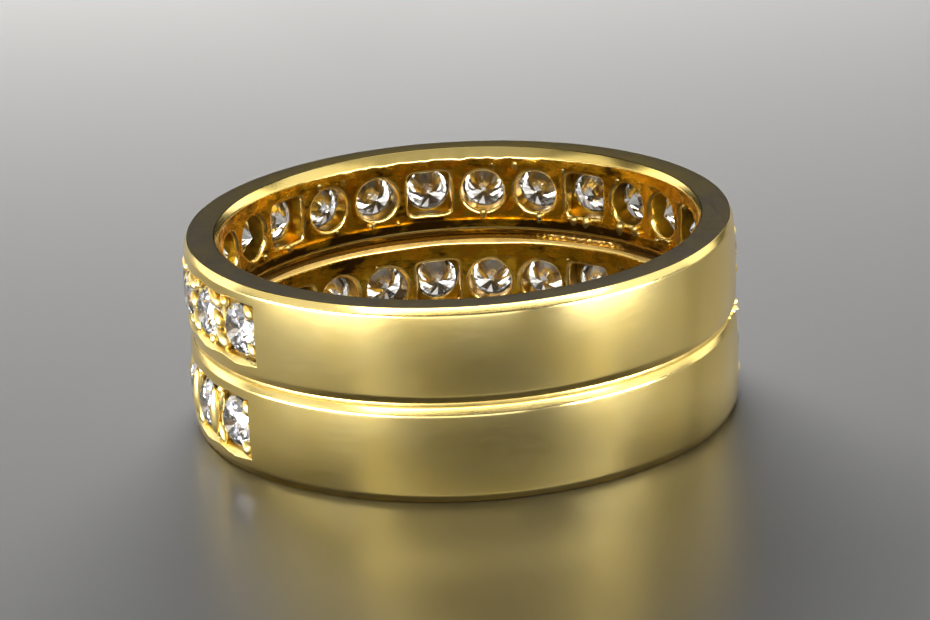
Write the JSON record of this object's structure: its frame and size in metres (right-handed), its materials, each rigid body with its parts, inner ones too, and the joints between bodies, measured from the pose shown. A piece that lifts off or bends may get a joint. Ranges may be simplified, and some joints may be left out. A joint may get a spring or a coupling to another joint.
{
  "type": "double band ring",
  "caption": "Gold finger ring of two flat-sided bands joined side by side, each channel-set with round brilliants over part of its way round and plain at the front.",
  "frame": {"origin": "middle of the ring's lower flat side, on the finger axis", "axes": "+Z along the finger axis, upwards as the ring lies on its side; -Y towards the plain front"},
  "size_m": [0.0204, 0.0204, 0.0072],
  "materials": {
    "gold": "polished yellow gold, satin flat sides",
    "stone": "colourless brilliant cut"
  },
  "bodies": {
    "root": {"double_band": "gold", "upper_stone_01": "stone", "upper_stone_02": "stone", "upper_stone_03": "stone", "upper_stone_04": "stone", "upper_stone_05": "stone", "upper_stone_06": "stone", "upper_stone_07": "stone", "upper_stone_08": "stone", "upper_stone_09": "stone", "upper_stone_10": "stone", "upper_stone_11": "stone", "upper_stone_12": "stone", "upper_stone_13": "stone", "upper_stone_14": "stone", "upper_stone_15": "stone", "upper_stone_16": "stone", "upper_stone_17": "stone", "lower_stone_01": "stone", "lower_stone_02": "stone", "lower_stone_03": "stone", "lower_stone_04": "stone", "lower_stone_05": "stone", "lower_stone_06": "stone", "lower_stone_07": "stone", "lower_stone_08": "stone", "lower_stone_09": "stone", "lower_stone_10": "stone", "lower_stone_11": "stone", "lower_stone_12": "stone", "lower_stone_13": "stone", "lower_stone_14": "stone", "lower_stone_15": "stone", "lower_stone_16": "stone", "lower_stone_17": "stone"}
  },
  "joints": []
}
